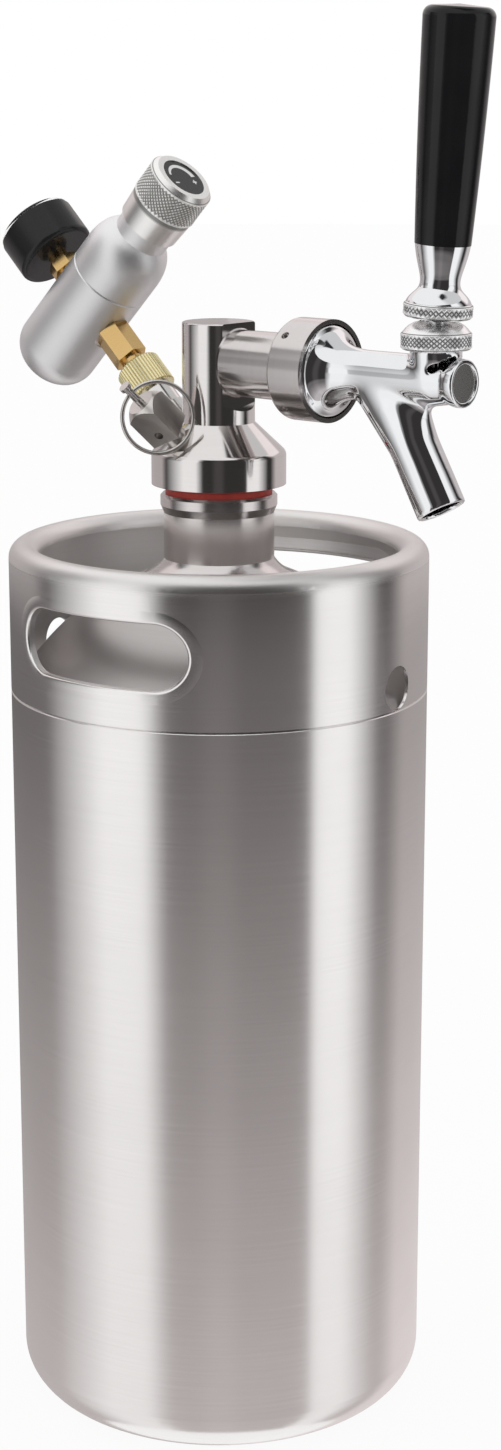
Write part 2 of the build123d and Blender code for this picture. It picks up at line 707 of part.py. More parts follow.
# ---------------------------------------------------------------- gas fittings
with BuildPart() as gas_post:
    rod(gas, port_bore - seat_gap, -port_depth + seat_gap, gas_post_start)
    rod(gas, gas_post_flange_radius, gas_post_start, gas_post_start + gas_post_flange)
    rod(gas, gas_post_radius, gas_post_start + gas_post_flange, gas_post_end)
    rod(gas, fitting_bore, -port_depth, gas_post_end, Mode.SUBTRACT)
save(gas_post, "gas_post")

seal_start = gas_post_end + seat_gap
with BuildPart() as gas_seal:
    rod(gas, gas_post_radius, seal_start, seal_start + gas_seal_thickness)
    rod(gas, fitting_bore, seal_start, seal_start + gas_seal_thickness, Mode.SUBTRACT)
save(gas_seal, "gas_seal")

with BuildPart() as gas_nut:
    rod(gas, gas_nut_radius, gas_nut_start, gas_nut_end)
    chamfer(gas_nut.edges().filter_by(GeomType.CIRCLE), gas_nut_bevel)
    rod(gas, gas_post_radius + seat_gap, gas_nut_start, gas_nut_end - gas_nut_floor, Mode.SUBTRACT)
    rod(gas, gas_neck_radius + run_gap, gas_nut_start, gas_nut_end, Mode.SUBTRACT)
save(gas_nut, "gas_nut")

tail_start = seal_start + gas_seal_thickness + seat_gap
socket_floor = reg_radius - socket_depth
port_end = reg_distance - socket_floor - seat_gap
gas_hex_end = reg_distance - reg_flat - seat_gap
with BuildPart() as gas_fitting:
    rod(gas, gas_post_radius - seat_gap, tail_start, gas_nut_end - gas_nut_floor - seat_gap)
    rod(gas, gas_neck_radius, tail_start, gas_hex_start)
    with BuildSketch(gas.offset(gas_hex_start)):
        RegularPolygon(gas_hex_flats / 2, 6, major_radius=False)
    extrude(amount=gas_hex_end - gas_hex_start)
    rod(gas, gas_neck_radius, gas_hex_end, port_end)
    rod(gas, fitting_bore, tail_start, port_end, Mode.SUBTRACT)
save(gas_fitting, "gas_fitting")

# ---------------------------------------------------------------- regulator
stem_start = reg_distance + socket_floor + seat_gap
with BuildPart() as reg_body:
    spin(regulator, [(0, reg_foot), (reg_radius, reg_foot), (reg_radius, reg_seam - reg_seam_bevel),
                     (reg_radius - reg_seam_bevel, reg_seam), (0, reg_seam)])
    fillet(reg_body.edges().filter_by(GeomType.CIRCLE).group_by(axis_of(regulator))[0], reg_foot_round)
    rod(regulator, reg_bore, reg_foot + reg_floor, reg_seam, Mode.SUBTRACT)
    rod(gas, reg_spot_radius, reg_distance - 2 * reg_radius, reg_distance - reg_flat, Mode.SUBTRACT)
    rod(gas, gas_neck_radius + seat_gap, reg_distance - reg_flat, port_end + seat_gap, Mode.SUBTRACT)
    rod(gas, gauge_stem_radius + seat_gap, stem_start - seat_gap, stem_start + 2 * socket_depth, Mode.SUBTRACT)
save(reg_body, "reg_body")

bonnet_start = reg_seam + seat_gap
with BuildPart() as reg_bonnet:
    with BuildSketch(section_of(regulator)):
        with BuildLine():
            Line((0, bonnet_start), (reg_radius - reg_seam_bevel, bonnet_start))
            Line((reg_radius - reg_seam_bevel, bonnet_start), (reg_radius, bonnet_start + reg_seam_bevel))
            Line((reg_radius, bonnet_start + reg_seam_bevel), (reg_radius, reg_shoulder))
            Spline((reg_radius, reg_shoulder), (reg_neck_radius, reg_neck_start), tangents=((0, 1), (-1, 0.75)))
            Line((reg_neck_radius, reg_neck_start), (reg_neck_radius, reg_neck_end))
            Line((reg_neck_radius, reg_neck_end), (reg_spigot_radius, reg_neck_end))
            Line((reg_spigot_radius, reg_neck_end), (reg_spigot_radius, reg_spigot_end))
            Line((reg_spigot_radius, reg_spigot_end), (0, reg_spigot_end))
            Line((0, reg_spigot_end), (0, bonnet_start))
        make_face()
    revolve(axis=axis_of(regulator))
    rod(regulator, reg_bore, bonnet_start, reg_piston_start, Mode.SUBTRACT)
    rod(regulator, reg_spring_chamber, reg_piston_start, reg_neck_end, Mode.SUBTRACT)
    rod(regulator, spindle_radius + run_gap, reg_neck_end, reg_spigot_end, Mode.SUBTRACT)
save(reg_bonnet, "reg_bonnet")

cartridge_foot = reg_foot + reg_floor + seat_gap
cartridge_tip = cartridge_foot + cartridge_length
with BuildPart() as co2_cartridge:
    spin(regulator, [(0, cartridge_foot), (cartridge_radius, cartridge_foot),
                     (cartridge_radius, cartridge_tip - 2 * cartridge_neck_length),
                     (cartridge_neck_radius, cartridge_tip - cartridge_neck_length),
                     (cartridge_neck_radius, cartridge_tip), (0, cartridge_tip)])
    fillet(co2_cartridge.edges().filter_by(GeomType.CIRCLE).group_by(axis_of(regulator))[0], cartridge_round)
save(co2_cartridge, "co2_cartridge")

seat_bottom = cartridge_tip + pierce_pin_length
with BuildPart() as pierce_seat:
    rod(regulator, reg_bore - seat_gap, seat_bottom, reg_piston_start - seat_gap)
    rod(regulator, pierce_pin_radius, cartridge_tip + seat_gap, seat_bottom)
    rod(regulator, pierce_bore, cartridge_tip + seat_gap, reg_piston_start, Mode.SUBTRACT)
save(pierce_seat, "pierce_seat")

with BuildPart() as reg_piston:
    rod(regulator, reg_spring_chamber - seat_gap, reg_piston_start, reg_piston_start + piston_thickness)
save(reg_piston, "reg_piston")

reg_spring_start = reg_piston_start + piston_thickness + seat_gap
reg_spring_length = spindle_start - seat_gap - reg_spring_start
with BuildPart() as reg_spring:
    with BuildLine() as reg_coil:
        Helix(pitch=reg_spring_pitch, height=reg_spring_length - 2 * reg_spring_wire_radius,
              radius=reg_spring_chamber - 2 * reg_spring_wire_radius - slip_gap,
              center=regulator.offset(reg_spring_start + reg_spring_wire_radius).origin,
              direction=regulator.z_dir)
    with BuildSketch(Plane(origin=reg_coil.line @ 0, z_dir=reg_coil.line % 0)):
        Circle(reg_spring_wire_radius)
    sweep()
save(reg_spring, "reg_spring")

face_floor = knob_top - label_recess
spindle_end = knob_band_start + spindle_grip
with BuildPart() as reg_knob:
    spin(regulator, [(0, knob_start), (knob_skirt_radius, knob_start),
                     (knob_skirt_top_radius, knob_band_start - knob_band_edge), (knob_radius, knob_band_start),
                     (knob_radius, knob_band_end), (knob_face_radius, knob_top), (0, knob_top)])
    with BuildSketch(regulator.offset(knob_start)):
        Circle(2 * knob_radius)
        RegularPolygon(knob_flat_distance, knob_flat_count, major_radius=False, mode=Mode.SUBTRACT)
    extrude(amount=knob_band_start - knob_band_edge - knob_start, mode=Mode.SUBTRACT)
    rod(regulator, reg_spigot_radius + slip_gap, knob_start, reg_spigot_end + 1, Mode.SUBTRACT)
    rod(regulator, label_radius + seat_gap, face_floor, knob_top, Mode.SUBTRACT)
    rod(regulator, spindle_radius + seat_gap, knob_start, spindle_end + seat_gap, Mode.SUBTRACT)
save(reg_knob, "reg_knob")

with BuildPart() as knob_label:
    rod(regulator, label_radius, face_floor + seat_gap, face_floor + seat_gap + label_thickness)
save(knob_label, "knob_label")

with BuildPart() as reg_spindle:
    rod(regulator, spindle_foot_radius, spindle_start, spindle_start + spindle_foot_length)
    rod(regulator, spindle_radius, spindle_start, spindle_end)
save(reg_spindle, "reg_spindle")

# ---------------------------------------------------------------- pressure gauge
gauge_front = gauge_back + gauge_depth
dial_face = gauge_front - dial_depth
stem_hex_start = reg_distance + reg_radius + gauge_hex_gap
stem_hex_end = gauge_back - gauge_hex_shoulder
with BuildPart() as gauge_stem:
    rod(gas, gauge_stem_radius, stem_start, gauge_back + gauge_wall + gauge_stem_reach)
    with BuildSketch(gas.offset(stem_hex_start)):
        RegularPolygon(gauge_stem_flats / 2, 6, major_radius=False)
    extrude(amount=stem_hex_end - stem_hex_start)
save(gauge_stem, "gauge_stem")

with BuildPart() as gauge_case:
    rod(gas, gauge_radius, gauge_back, gauge_front)
    fillet(gauge_case.edges().filter_by(GeomType.CIRCLE).group_by(axis_of(gas))[0], gauge_back_round)
    rod(gas, gauge_radius - gauge_wall, gauge_back + gauge_wall, gauge_front, Mode.SUBTRACT)
    rod(gas, gauge_stem_radius + seat_gap, gauge_back, gauge_front, Mode.SUBTRACT)
save(gauge_case, "gauge_case")

with BuildPart() as gauge_dial:
    rod(gas, gauge_radius - gauge_wall - seat_gap, dial_face - dial_thickness, dial_face)
    rod(gas, needle_radius + run_gap, dial_face - dial_thickness, dial_face, Mode.SUBTRACT)
save(gauge_dial, "gauge_dial")

needle_back = dial_face + needle_lift
with BuildPart() as gauge_needle:
    rod(gas, needle_radius, dial_face - dial_thickness - needle_pin_depth, needle_back + needle_thickness)
    rod(gas, needle_hub_radius, needle_back, needle_back + needle_thickness + needle_hub_height)
    with BuildSketch(gas.offset(needle_back)):
        with Locations((0, (needle_length - needle_tail) / 2)):
            Rectangle(needle_width, needle_length + needle_tail)
        with Locations((0, -needle_tail)):
            Circle(needle_tail_radius)
    extrude(amount=needle_thickness)
save(gauge_needle, "gauge_needle")

with BuildPart() as gauge_lens:
    rod(gas, gauge_radius - gauge_wall - seat_gap, gauge_front - lens_seat, gauge_front)
    rod(gas, lens_radius, gauge_front, gauge_front + lens_thickness)
save(gauge_lens, "gauge_lens")

# ---------------------------------------------------------------- pressure relief valve
relief_end = relief_start + relief_length
relief_bore = pin_foot_radius + slip_gap
foot_start = relief_start + pin_foot_lift
foot_end = foot_start + pin_foot_length
bevel_depth = relief_width * sqrt(0.5) - relief_face_radius
with BuildPart() as relief_body:
    rod(relief, port_bore - seat_gap, -port_depth + seat_gap, relief_start)
    with BuildSketch(relief.offset(relief_start)):
        Rectangle(relief_width, relief_width, rotation=relief_turn)
    extrude(amount=relief_length)
    spin(relief, [(relief_face_radius, relief_end), (relief_face_radius + bevel_depth, relief_end),
                  (relief_face_radius + bevel_depth, relief_end - bevel_depth)], Mode.SUBTRACT)
    rod(relief, relief_bore, relief_start, relief_end - relief_lid, Mode.SUBTRACT)
    rod(relief, pin_radius + run_gap, relief_start, relief_end, Mode.SUBTRACT)
    vent_turn = radians(relief_turn - 90)
    vent_side = relief.x_dir * cos(vent_turn) + relief.y_dir * sin(vent_turn)
    vent = Plane(origin=relief.offset(relief_start + vent_height).origin, z_dir=vent_side)
    rod(vent, vent_diameter / 2, 0, relief_width, Mode.SUBTRACT)
save(relief_body, "relief_body")

hinge_turn = radians(ring_hole_turn)
hinge_way = relief.x_dir * cos(hinge_turn) + relief.y_dir * sin(hinge_turn)
hinge = Plane(origin=relief.offset(ring_hole).origin, z_dir=hinge_way)
with BuildPart() as relief_pin:
    rod(relief, pin_foot_radius, foot_start, foot_end)
    rod(relief, pin_radius, foot_end, pin_end)
    rod(relief, pin_head_radius, pin_end - pin_head_length, pin_end)
    rod(hinge, pull_wire_radius + ring_hole_clearance, -pin_head_radius, pin_head_radius, Mode.SUBTRACT)
save(relief_pin, "relief_pin")

# the spring rides on the pin's foot and meets the body's end when the pin is pulled
spring_start = foot_end + spring_wire_radius + seat_gap
spring_length = relief_end - relief_lid - spring_start - spring_wire_radius - pin_travel - slip_gap
with BuildPart() as relief_spring:
    with BuildLine() as coil:
        Helix(pitch=spring_pitch, height=spring_length, radius=spring_radius,
              center=relief.offset(spring_start).origin, direction=relief.z_dir)
    with BuildSketch(Plane(origin=coil.line @ 0, z_dir=coil.line % 0)):
        Circle(spring_wire_radius)
    sweep()
save(relief_spring, "relief_spring")

swing = radians(pull_ring_swing)
side_way = relief.z_dir.cross(hinge_way) * -1
centre_way = relief.z_dir * -cos(swing) + side_way * sin(swing)
ring_centre = hinge.origin + centre_way * pull_ring_radius
ring_plane = Plane(origin=ring_centre, x_dir=hinge_way, z_dir=hinge_way.cross(centre_way))
with BuildPart() as pull_ring:
    with BuildLine(ring_plane):
        CenterArc((0, 0), pull_ring_radius, 0, 360)
    with BuildSketch(Plane(origin=ring_centre + hinge_way * pull_ring_radius, z_dir=centre_way)):
        Circle(pull_wire_radius)
    sweep()
save(pull_ring, "pull_ring")
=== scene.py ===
import json
import math

import bmesh
import bpy
from mathutils import Matrix, Vector


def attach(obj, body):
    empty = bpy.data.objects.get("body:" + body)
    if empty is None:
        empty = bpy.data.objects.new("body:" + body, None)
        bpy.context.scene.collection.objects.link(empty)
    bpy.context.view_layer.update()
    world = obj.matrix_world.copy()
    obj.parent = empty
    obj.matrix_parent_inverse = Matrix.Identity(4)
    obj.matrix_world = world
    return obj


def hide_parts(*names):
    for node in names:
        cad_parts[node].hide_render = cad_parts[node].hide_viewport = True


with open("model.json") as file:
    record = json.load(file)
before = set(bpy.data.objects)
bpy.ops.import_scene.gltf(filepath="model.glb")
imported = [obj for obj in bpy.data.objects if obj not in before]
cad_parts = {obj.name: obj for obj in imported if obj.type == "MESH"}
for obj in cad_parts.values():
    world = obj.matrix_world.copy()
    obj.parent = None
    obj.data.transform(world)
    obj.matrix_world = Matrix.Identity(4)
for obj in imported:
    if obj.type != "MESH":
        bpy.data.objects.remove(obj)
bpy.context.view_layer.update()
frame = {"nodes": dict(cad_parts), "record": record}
nodes = frame["nodes"]
joints = {joint["name"]: joint for joint in frame["record"]["behaviour"]["joints"]}
MM = 0.001


# ------------------------------------------------------------------ places on the dispenser
def place(origin, axis, side=(1, 0, 0)):
    """A piece's own frame: its Z runs along the axis and its X lies near the side."""
    z = Vector(axis).normalized()
    y = z.cross(Vector(side)).normalized()
    matrix = Matrix((y.cross(z), y, z)).transposed().to_4x4()
    matrix.translation = Vector(origin)
    return matrix


# the gas port and the relief valve stand on the cone at one rise, and the lever's ball sits in the
# tap's throat
tap_height = 424.0
ball_centre = (0, -105.2 * MM, 441 * MM)
lever_lean = math.radians(4)
port_rise = math.radians(43.5)
port_out = 20.2
port_height = 396.6
gas_way = Vector((0, math.cos(port_rise), math.sin(port_rise)))
gas_root = Vector((0, port_out, port_height)) * MM
relief_turn = math.radians(162)
relief_way = Vector((math.cos(relief_turn) * math.cos(port_rise),
                     math.sin(relief_turn) * math.cos(port_rise), math.sin(port_rise)))
relief_root = Vector((port_out * math.cos(relief_turn), port_out * math.sin(relief_turn),
                      port_height)) * MM

UPRIGHT = place((0, 0, 0), (0, 0, 1))
TAP = place((0, 0, tap_height * MM), (0, -1, 0))
BONNET = place(ball_centre, (0, 0, 1))
LEVER = place(ball_centre, (0, -math.sin(lever_lean), math.cos(lever_lean)))
GAS = place(gas_root, gas_way)
KNOB = place(joints["pressure_knob"]["pos_m"], joints["pressure_knob"]["axis"])
RELIEF = place(relief_root, relief_way, (-math.sin(relief_turn), math.cos(relief_turn), 0))


# ------------------------------------------------------------------ shader maths
class Value:
    """A number socket that arithmetic works on: each operation adds one Math node."""

    def __init__(self, tree, socket):
        self.tree = tree
        self.socket = socket

    def math(self, operation, *others):
        node = self.tree.nodes.new("ShaderNodeMath")
        node.operation = operation
        for entry, value in zip(node.inputs, (self, *others)):
            if isinstance(value, Value):
                self.tree.links.new(value.socket, entry)
            else:
                entry.default_value = value
        return Value(self.tree, node.outputs[0])

    def __add__(self, other):
        return self.math("ADD", other)

    def __sub__(self, other):
        return self.math("SUBTRACT", other)

    def __mul__(self, other):
        return self.math("MULTIPLY", other)

    def __truediv__(self, other):
        return self.math("DIVIDE", other)

    def __pow__(self, other):
        return self.math("POWER", other)

    def __rsub__(self, other):
        return self * -1.0 + other

    __radd__ = __add__
    __rmul__ = __mul__

    def __abs__(self):
        return self.math("ABSOLUTE")

    def sine(self):
        return self.math("SINE")

    def over(self, edge, blur):
        """0 below an edge and 1 above it, over a short slope."""
        slope = (self - edge) / blur + 0.5
        return slope.math("MAXIMUM", 0.0).math("MINIMUM", 1.0)

    def under(self, edge, blur):
        return 1.0 - self.over(edge, blur)


class Finish:
    """A material under construction: a Principled shader and the nodes that feed it."""

    def __init__(self, name, colour, metallic=0.0, roughness=0.4, **constants):
        self.material = bpy.data.materials.new(name)
        self.material.use_nodes = True
        self.tree = self.material.node_tree
        self.shader = self.tree.nodes["Principled BSDF"]
        self.set(Base_Color=(*colour, 1.0), Metallic=metallic, Roughness=roughness, **constants)

    def set(self, **inputs):
        self.fill(self.shader, inputs)

    def fill(self, node, inputs):
        for key, value in inputs.items():
            entry = node.inputs[key.replace("_", " ")]
            if isinstance(value, Value):
                self.tree.links.new(value.socket, entry)
            else:
                entry.default_value = value

    def node(self, kind, settings=None, **inputs):
        """One node of a kind, its settings first, then the values or links of its sockets."""
        node = self.tree.nodes.new("ShaderNode" + kind)
        for key, value in (settings or {}).items():
            if key == "stops":
                self.stops(node.color_ramp, value)
            else:
                setattr(node, key, value)
        self.fill(node, inputs)
        return node

    def out(self, node, name=0):
        return Value(self.tree, node.outputs[name])

    def stops(self, ramp, stops):
        while len(ramp.elements) < len(stops):
            ramp.elements.new(0.5)
        for element, (position, colour) in zip(ramp.elements, stops):
            element.position = position
            element.color = (*colour, 1.0)

    def surface(self, node):
        """Makes a node's first output the material's surface."""
        self.tree.links.new(node.outputs[0], self.tree.nodes["Material Output"].inputs[0])

    def at(self, frame_of_piece):
        """Object coordinates in a piece's own frame, in millimetres."""
        mapping = self.node("Mapping", {"vector_type": "TEXTURE"},
                            Vector=self.out(self.node("TexCoord"), "Object"),
                            Location=frame_of_piece.translation,
                            Rotation=frame_of_piece.to_euler(), Scale=(MM, MM, MM))
        return self.out(mapping)

    def split(self, vector):
        parts = self.node("SeparateXYZ", Vector=vector)
        return [self.out(parts, axis) for axis in "XYZ"]

    def round_about(self, frame_of_piece):
        """Radius in millimetres, angle in radians and height in millimetres about an axis."""
        x, y, z = self.split(self.at(frame_of_piece))
        return (x * x + y * y) ** 0.5, y.math("ARCTAN2", x), z

    def noise(self, vector, scale, detail=2.0, roughness=0.5):
        return self.out(self.node("TexNoise", Vector=vector, Scale=scale, Detail=detail,
                                  Roughness=roughness))

    def lathe_lines(self, frame_of_piece, pitch):
        """Noise in fine rings round an axis, on walls and faces alike."""
        x, y, height = self.split(self.at(frame_of_piece))
        radius = (x * x + y * y) ** 0.5
        drift = 0.02
        grain = self.node("CombineXYZ", X=x * drift, Y=y * drift, Z=(radius + height) / pitch)
        return self.noise(self.out(grain), 1.0, 3.0, 0.6)

    def tint(self, factor, low, high):
        """Base colour that runs from one tint to another."""
        ramp = self.node("ValToRGB", {"stops": [(0.0, low), (1.0, high)]}, Fac=factor)
        self.set(Base_Color=self.out(ramp))

    def bump(self, height, depth):
        """Relief whose height factor 1 stands a depth in millimetres proud."""
        node = self.node("Bump", Height=height, Strength=1.0, Distance=depth * MM)
        self.set(Normal=self.out(node))


# ------------------------------------------------------------------ finishes
def worked_steel(name, about, low, high, roughness, spread, pitch, depth):
    """Steel brushed or turned round an axis: fine lines vary its tint and gloss."""
    finish = Finish(name, high, metallic=1.0, roughness=roughness)
    lines = finish.lathe_lines(about, pitch)
    clouds = finish.noise(finish.at(about), 0.03)
    finish.tint(lines * 0.6 + clouds * 0.4, low, high)
    finish.set(Roughness=lines * spread + (roughness - spread / 2))
    finish.bump(lines, depth)
    return finish


def cut_metal(name, about, low, high, roughness, crest, depth):
    """Metal with cut teeth: painted shade down in the grooves and a painted highlight on the crests."""
    finish = Finish(name, high, metallic=1.0, roughness=roughness)
    radius, _, _ = finish.round_about(about)
    grain = finish.lathe_lines(about, 0.2)
    # the crests get the pale colour as a painted highlight, and the grooves the dark one as painted
    # shade
    lit_crests = radius.over(crest - depth * 0.6, depth * 0.5)
    plain = radius.under(crest - depth * 1.5, depth * 0.2)
    finish.tint(lit_crests.math("MAXIMUM", plain) * 0.9 + grain * 0.1, low, high)
    finish.set(Roughness=grain * 0.06 + roughness, Metallic=plain * 0.4 + 0.6)
    return finish


brushing_pitch = 0.35
keg_wall = worked_steel("keg_wall", UPRIGHT, (0.80, 0.78, 0.77), (0.96, 0.94, 0.93),
                        roughness=0.20, spread=0.08, pitch=brushing_pitch, depth=0.003)
# the dome's steel is darker than the wall's: painted shade for the well under the chime
keg_top = worked_steel("keg_top", UPRIGHT, (0.50, 0.48, 0.47), (0.64, 0.62, 0.61),
                       roughness=0.40, spread=0.08, pitch=0.5, depth=0.002)
head_polish = worked_steel("head_polish", UPRIGHT, (0.72, 0.69, 0.68), (0.84, 0.82, 0.81),
                           roughness=0.10, spread=0.05, pitch=0.3, depth=0.001)
neck_turning = worked_steel("neck_turning", UPRIGHT, (0.62, 0.58, 0.57), (0.80, 0.77, 0.76),
                            roughness=0.18, spread=0.08, pitch=0.25, depth=0.003)
pipe_turning = worked_steel("pipe_turning", TAP, (0.62, 0.58, 0.57), (0.80, 0.77, 0.76),
                            roughness=0.17, spread=0.08, pitch=0.25, depth=0.003)
post_polish = worked_steel("post_polish", GAS, (0.70, 0.68, 0.66), (0.82, 0.80, 0.79),
                           roughness=0.14, spread=0.06, pitch=0.3, depth=0.002)
valve_polish = worked_steel("valve_polish", RELIEF, (0.66, 0.63, 0.60), (0.80, 0.77, 0.74),
                            roughness=0.30, spread=0.06, pitch=0.4, depth=0.001)
shaft_steel = worked_steel("shaft_steel", TAP, (0.50, 0.49, 0.47), (0.66, 0.65, 0.63),
                           roughness=0.26, spread=0.10, pitch=0.2, depth=0.003)
pin_steel = worked_steel("pin_steel", RELIEF, (0.60, 0.58, 0.56), (0.74, 0.72, 0.70),
                         roughness=0.20, spread=0.08, pitch=0.2, depth=0.002)
spindle_steel = worked_steel("spindle_steel", KNOB, (0.60, 0.59, 0.58), (0.74, 0.73, 0.72),
                             roughness=0.22, spread=0.08, pitch=0.2, depth=0.002)
cartridge_steel = worked_steel("cartridge_steel", KNOB, (0.55, 0.55, 0.56), (0.70, 0.70, 0.71),
                               roughness=0.30, spread=0.10, pitch=0.3, depth=0.003)
fitting_brass = worked_steel("fitting_brass", GAS, (0.62, 0.40, 0.15), (0.80, 0.57, 0.26),
                             roughness=0.20, spread=0.10, pitch=0.3, depth=0.004)

# the keg's wall is less glossy inside the chime and on its rolled rim
chime_inside = 81.6
dome_edge = 296
rim_start = 349
wall_radius, _, wall_height = keg_wall.round_about(UPRIGHT)
inner = wall_radius.under(chime_inside, 0.4) * wall_height.over(dome_edge, 1)
softer = inner.math("MAXIMUM", wall_height.over(rim_start, 5)) * 0.22
keg_wall.set(Roughness=keg_wall.lathe_lines(UPRIGHT, brushing_pitch) * 0.08 + softer + 0.16)

chrome = Finish("tap_chrome", (0.86, 0.87, 0.89), metallic=1.0, roughness=0.05)
chrome_clouds = chrome.noise(chrome.at(TAP), 0.08)
chrome.tint(chrome_clouds, (0.83, 0.84, 0.86), (0.89, 0.90, 0.91))
chrome.set(Roughness=chrome_clouds * 0.04 + 0.03)

bonnet_radius = 12.9
ring_radius = 12.6
knob_radius = 13.5
nut_radius = 9.3
knurl_depth = 0.34
# each knurl's dark colour is painted shade in its grooves; its pale colour is a painted highlight on its
# crests and the plain colour of its smooth faces
bonnet_knurl = cut_metal("bonnet_knurl", BONNET, (0.14, 0.14, 0.14), (1.0, 1.0, 1.0),
                         roughness=0.20, crest=bonnet_radius, depth=knurl_depth)
ring_knurl = cut_metal("ring_knurl", LEVER, (0.14, 0.14, 0.14), (1.0, 1.0, 1.0),
                       roughness=0.20, crest=ring_radius, depth=knurl_depth)
knob_knurl = cut_metal("knob_knurl", KNOB, (0.26, 0.26, 0.25), (1.0, 0.99, 0.97),
                       roughness=0.28, crest=knob_radius, depth=knurl_depth)
nut_brass = cut_metal("nut_brass", GAS, (0.66, 0.52, 0.20), (1.0, 0.93, 0.60),
                      roughness=0.24, crest=nut_radius, depth=knurl_depth)

satin = Finish("regulator_satin", (0.78, 0.79, 0.80), metallic=1.0, roughness=0.42)
satin_grain = satin.noise(satin.at(KNOB), 3.0, 3.0, 0.6)
satin.tint(satin_grain, (0.86, 0.86, 0.87), (1.0, 1.0, 1.0))
satin.set(Roughness=satin_grain * 0.14 + 0.40)
satin.bump(satin_grain, 0.012)

seal_red = Finish("seal_red", (0.45, 0.025, 0.015), roughness=0.5)
seal_clouds = seal_red.noise(seal_red.at(UPRIGHT), 0.6, 4.0)
seal_red.tint(seal_clouds, (0.34, 0.015, 0.010), (0.56, 0.04, 0.02))
seal_red.bump(seal_clouds, 0.03)

seal_black = Finish("seal_black", (0.02, 0.02, 0.02), roughness=0.55)
dark_clouds = seal_black.noise(seal_black.at(TAP), 0.8, 4.0)
seal_black.tint(dark_clouds, (0.012, 0.012, 0.012), (0.035, 0.035, 0.036))
seal_black.bump(dark_clouds, 0.02)

handle_black = Finish("handle_black", (0.010, 0.010, 0.011), roughness=0.10, Specular_IOR_Level=0.25)
handle_clouds = handle_black.noise(handle_black.at(LEVER), 0.05)
handle_black.tint(handle_clouds, (0.006, 0.006, 0.007), (0.014, 0.014, 0.015))
handle_black.set(Roughness=handle_clouds * 0.06 + 0.07)

gauge_black = Finish("gauge_black", (0.012, 0.012, 0.013), roughness=0.22, Specular_IOR_Level=0.3)
gauge_clouds = gauge_black.noise(gauge_black.at(GAS), 2.0, 4.0)
gauge_black.tint(gauge_clouds, (0.008, 0.008, 0.008), (0.020, 0.020, 0.021))
gauge_black.bump(gauge_clouds, 0.01)

needle_black = Finish("needle_black", (0.015, 0.015, 0.016), roughness=0.35)
needle_clouds = needle_black.noise(needle_black.at(GAS), 1.0)
needle_black.tint(needle_clouds, (0.010, 0.010, 0.010), (0.025, 0.025, 0.026))

# the gauge's dial: a ring of fine ticks with longer ones between
dial_white = Finish("dial_white", (0.86, 0.86, 0.84), roughness=0.45)
dial_radius, dial_angle, _ = dial_white.round_about(GAS)
tick_tip = dial_radius.under(12.6, 0.1)
fine = abs((dial_angle * 20).sine()).under(0.10, 0.05) * dial_radius.over(11.2, 0.1)
coarse = abs((dial_angle * 4).sine()).under(0.03, 0.015) * dial_radius.over(10.0, 0.1)
ticks = (fine * tick_tip).math("MAXIMUM", coarse * tick_tip)
dial_white.tint(ticks, (0.86, 0.86, 0.84), (0.02, 0.02, 0.02))

lens_clear = Finish("lens_clear", (1.0, 1.0, 1.0), roughness=0.02, Transmission_Weight=1.0, IOR=1.49)
lens_haze = lens_clear.noise(lens_clear.at(GAS), 0.2)
lens_clear.set(Roughness=lens_haze * 0.02 + 0.01)

# the knob's disc: black, with a silver arc that widens from its minus mark to its plus mark
label_black = Finish("label_black", (0.012, 0.012, 0.013), roughness=0.25)
label_radius, label_angle, _ = label_black.round_about(KNOB)
label_x, label_y, _ = label_black.split(label_black.at(KNOB))
arc_radius = 6.2
arc_start = 0.10
arc_end = 2.85
mark_long = 1.1
mark_thin = 0.32
print_edge = 0.12
minus_place = (-5.2, -2.4)
plus_place = (4.9, -2.2)
flat_bar = (mark_long, mark_thin)
upright_bar = (mark_thin, mark_long)
arc_width = 1.15 - label_angle * 0.24
printed = (abs(label_radius - arc_radius) - arc_width).under(0.0, print_edge)
printed = printed * label_angle.over(arc_start, 0.02) * label_angle.under(arc_end, 0.02)
for (mark_x, mark_y), (reach_x, reach_y) in ((minus_place, flat_bar), (plus_place, flat_bar),
                                             (plus_place, upright_bar)):
    bar = abs(label_x - mark_x).under(reach_x, print_edge)
    bar = bar * abs(label_y - mark_y).under(reach_y, print_edge)
    printed = printed.math("MAXIMUM", bar)
label_black.tint(printed, (0.012, 0.012, 0.013), (0.78, 0.78, 0.77))

# the nodes that are shown as they are, under the finish that each one wears
dressing = {
    keg_wall: ["keg_shell", "top_chime"],
    keg_top: ["keg_dome"],
    neck_turning: ["keg_neck"],
    head_polish: ["dip_tube"],
    pipe_turning: ["shank_collar"],
    post_polish: ["gas_post"],
    valve_polish: ["relief_body", "pull_ring"],
    pin_steel: ["relief_pin", "relief_spring"],
    shaft_steel: ["front_plug", "valve_shaft"],
    spindle_steel: ["reg_spindle", "reg_spring"],
    cartridge_steel: ["co2_cartridge"],
    fitting_brass: ["gas_fitting", "pierce_seat", "reg_piston", "gauge_stem"],
    chrome: ["lever_stem", "handle_ferrule"],
    satin: ["reg_body", "reg_bonnet"],
    seal_red: ["neck_seal", "gas_seal"],
    seal_black: ["tap_washer", "ball_seat"],
    handle_black: ["tap_handle"],
    gauge_black: ["gauge_case"],
    needle_black: ["gauge_needle"],
    dial_white: ["gauge_dial"],
    lens_clear: ["gauge_lens"],
    label_black: ["knob_label"],
}
for finish, names in dressing.items():
    for name in names:
        nodes[name].data.materials.clear()
        nodes[name].data.materials.append(finish.material)


# ------------------------------------------------------------------ shaping
def add(name, shape, material, *choices):
    """A new object at the origin, from a function that fills its bmesh."""
    mesh = bmesh.new()
    shape(mesh, *choices)
    data = bpy.data.meshes.new(name)
    mesh.to_mesh(data)
    mesh.free()
    obj = bpy.data.objects.new(name, data)
    bpy.context.scene.collection.objects.link(obj)
    data.materials.append(material)
    return obj


def shade(obj, crease=30):
    """Smooth shading, with edges left sharp past a crease angle in degrees."""
    obj.data.shade_smooth()
    obj.data.set_sharp_from_angle(angle=math.radians(crease))


